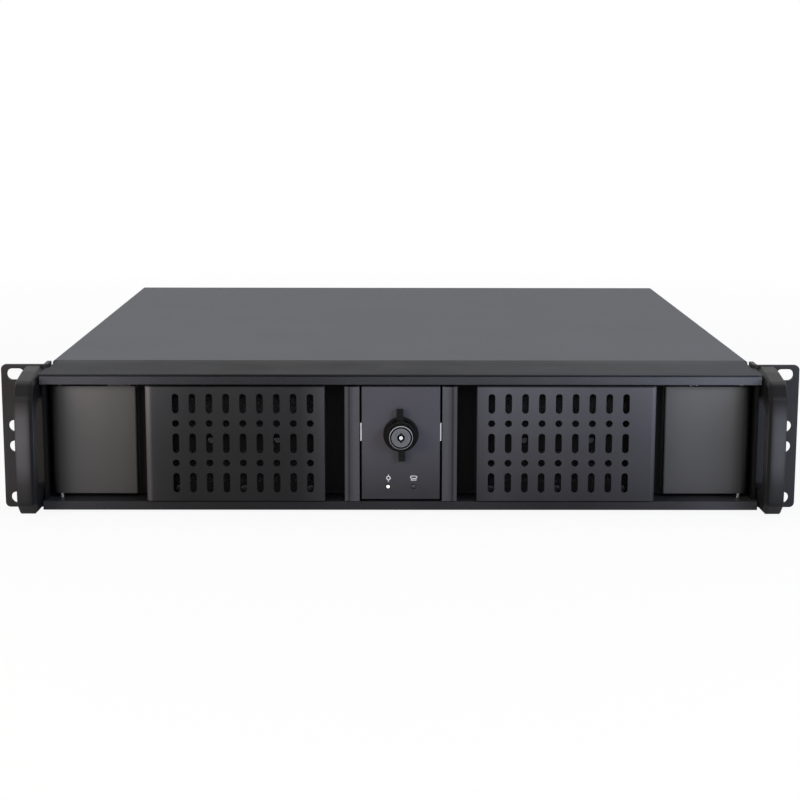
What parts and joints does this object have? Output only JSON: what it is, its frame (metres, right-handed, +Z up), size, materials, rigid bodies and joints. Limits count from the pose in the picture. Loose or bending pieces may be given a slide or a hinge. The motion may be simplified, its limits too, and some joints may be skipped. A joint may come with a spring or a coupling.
{
  "type": "empty rackmount server case",
  "caption": "Shallow black rack case with two outward swinging vented front doors, a wing knob lock between them, bow handles and slotted rack ears.",
  "frame": {"origin": "on the surface under the case, in the middle of its overall width and depth", "axes": "+X to the right seen from the front, +Y from the front towards the rear panel, +Z up"},
  "size_m": [0.4826, 0.4715, 0.0884],
  "materials": {
    "case_paint": "black powder coat with a fine texture",
    "front_paint": "satin black enamel",
    "vent_paint": "satin black enamel on the pierced plates",
    "handle_paint": "satin black on the bow handles",
    "ear_paint": "satin black on the folded ears",
    "zinc_steel": "zinc plated sheet",
    "screw_zinc": "bright zinc plated screws",
    "screw_black": "black oxide screws",
    "bolt_chrome": "polished chrome",
    "lock_metal": "dark chrome lock face",
    "gear_brass": "turned brass",
    "knob_plastic": "moulded black nylon",
    "fan_plastic": "moulded black fan plastic",
    "control_plastic": "moulded black ABS",
    "filter_foam": "open-cell black filter foam",
    "lamp_white": "milky lamp lens",
    "lamp_dark": "dark lamp lens",
    "board_green": "solder-masked board"
  },
  "bodies": {
    "case": {"chassis_tray": "case_paint", "top_cover": "case_paint", "rear_panel": "case_paint", "front_bulkhead": "case_paint", "bezel_top_rail": "front_paint", "bezel_bottom_rail": "front_paint", "left_bezel_end": "front_paint", "right_bezel_end": "front_paint", "centre_housing": "front_paint", "left_handle": "handle_paint", "right_handle": "handle_paint", "left_ear": "ear_paint", "right_ear": "ear_paint", "drive_cage": "zinc_steel", "slot_covers": "zinc_steel", "psu_shelf": "zinc_steel", "bolt_guide": "zinc_steel", "guide_screws": "screw_zinc", "slot_screws": "screw_zinc", "fan_screws": "screw_zinc", "control_screws": "screw_zinc", "left_hinge_pin": "screw_zinc", "right_hinge_pin": "screw_zinc", "cover_screws": "screw_black", "ear_screws": "screw_black", "handle_screws": "screw_black", "data_sockets": "lock_metal", "board_standoffs": "gear_brass", "lock_ring": "knob_plastic", "fan_frame": "fan_plastic", "control_block": "control_plastic", "power_lamp": "lamp_white", "disk_lamp": "lamp_dark", "lamp_board": "board_green", "control_board": "board_green"},
    "left_door": {"left_door_panel": "front_paint", "left_vent_plate": "vent_paint", "left_pull_rail": "front_paint", "left_filter_foam": "filter_foam", "left_filter_retainer": "zinc_steel", "left_filter_screws": "screw_zinc"},
    "right_door": {"right_door_panel": "front_paint", "right_vent_plate": "vent_paint", "right_pull_rail": "front_paint", "right_filter_foam": "filter_foam", "right_filter_retainer": "zinc_steel", "right_filter_screws": "screw_zinc"},
    "lock_knob": {"wing_knob": "knob_plastic", "lock_cylinder": "lock_metal", "lock_pinion": "gear_brass"},
    "key": {"key_plug": "lock_metal"},
    "left_latch": {"left_bolt": "bolt_chrome"},
    "right_latch": {"right_bolt": "bolt_chrome"},
    "rotor": {"fan_rotor": "fan_plastic"},
    "power": {"power_button": "control_plastic"},
    "reset": {"reset_button": "control_plastic"}
  },
  "joints": [
    {"name": "left_door_hinge", "type": "hinge", "parent": "case", "child": "left_door", "pos_m": [-0.2055, -0.20275, 0.0444], "axis": [0, 0, -1], "range_deg": [0, 95]},
    {"name": "right_door_hinge", "type": "hinge", "parent": "case", "child": "right_door", "pos_m": [0.2055, -0.20275, 0.0444], "axis": [0, 0, 1], "range_deg": [0, 95]},
    {"name": "knob_turn", "type": "hinge", "parent": "case", "child": "lock_knob", "pos_m": [0, -0.21725, 0.0498], "axis": [0, -1, 0], "range_deg": [0, 90]},
    {"name": "key_turn", "type": "hinge", "parent": "lock_knob", "child": "key", "pos_m": [0, -0.22425, 0.0498], "axis": [0, -1, 0], "range_deg": [0, 90]},
    {"name": "left_bolt_slide", "type": "slide", "parent": "case", "child": "left_latch", "axis": [-1, 0, 0], "range_m": [0, 0.0066]},
    {"name": "right_bolt_slide", "type": "slide", "parent": "case", "child": "right_latch", "axis": [1, 0, 0], "range_m": [0, 0.0066]},
    {"name": "fan_spin", "type": "hinge", "parent": "case", "child": "rotor", "pos_m": [0.094, -0.18425, 0.0436], "axis": [0, -1, 0], "continuous": true},
    {"name": "power_press", "type": "slide", "parent": "case", "child": "power", "axis": [0, 1, 0], "range_m": [0, 0.0018], "stiffness_N_per_m": 600},
    {"name": "reset_press", "type": "slide", "parent": "case", "child": "reset", "axis": [0, 1, 0], "range_m": [0, 0.0012], "stiffness_N_per_m": 600}
  ],
  "couplings": [
    {"joint": "left_bolt_slide", "follows": "knob_turn", "m_per_rad": 0.0042},
    {"joint": "right_bolt_slide", "follows": "knob_turn", "m_per_rad": 0.0042}
  ]
}
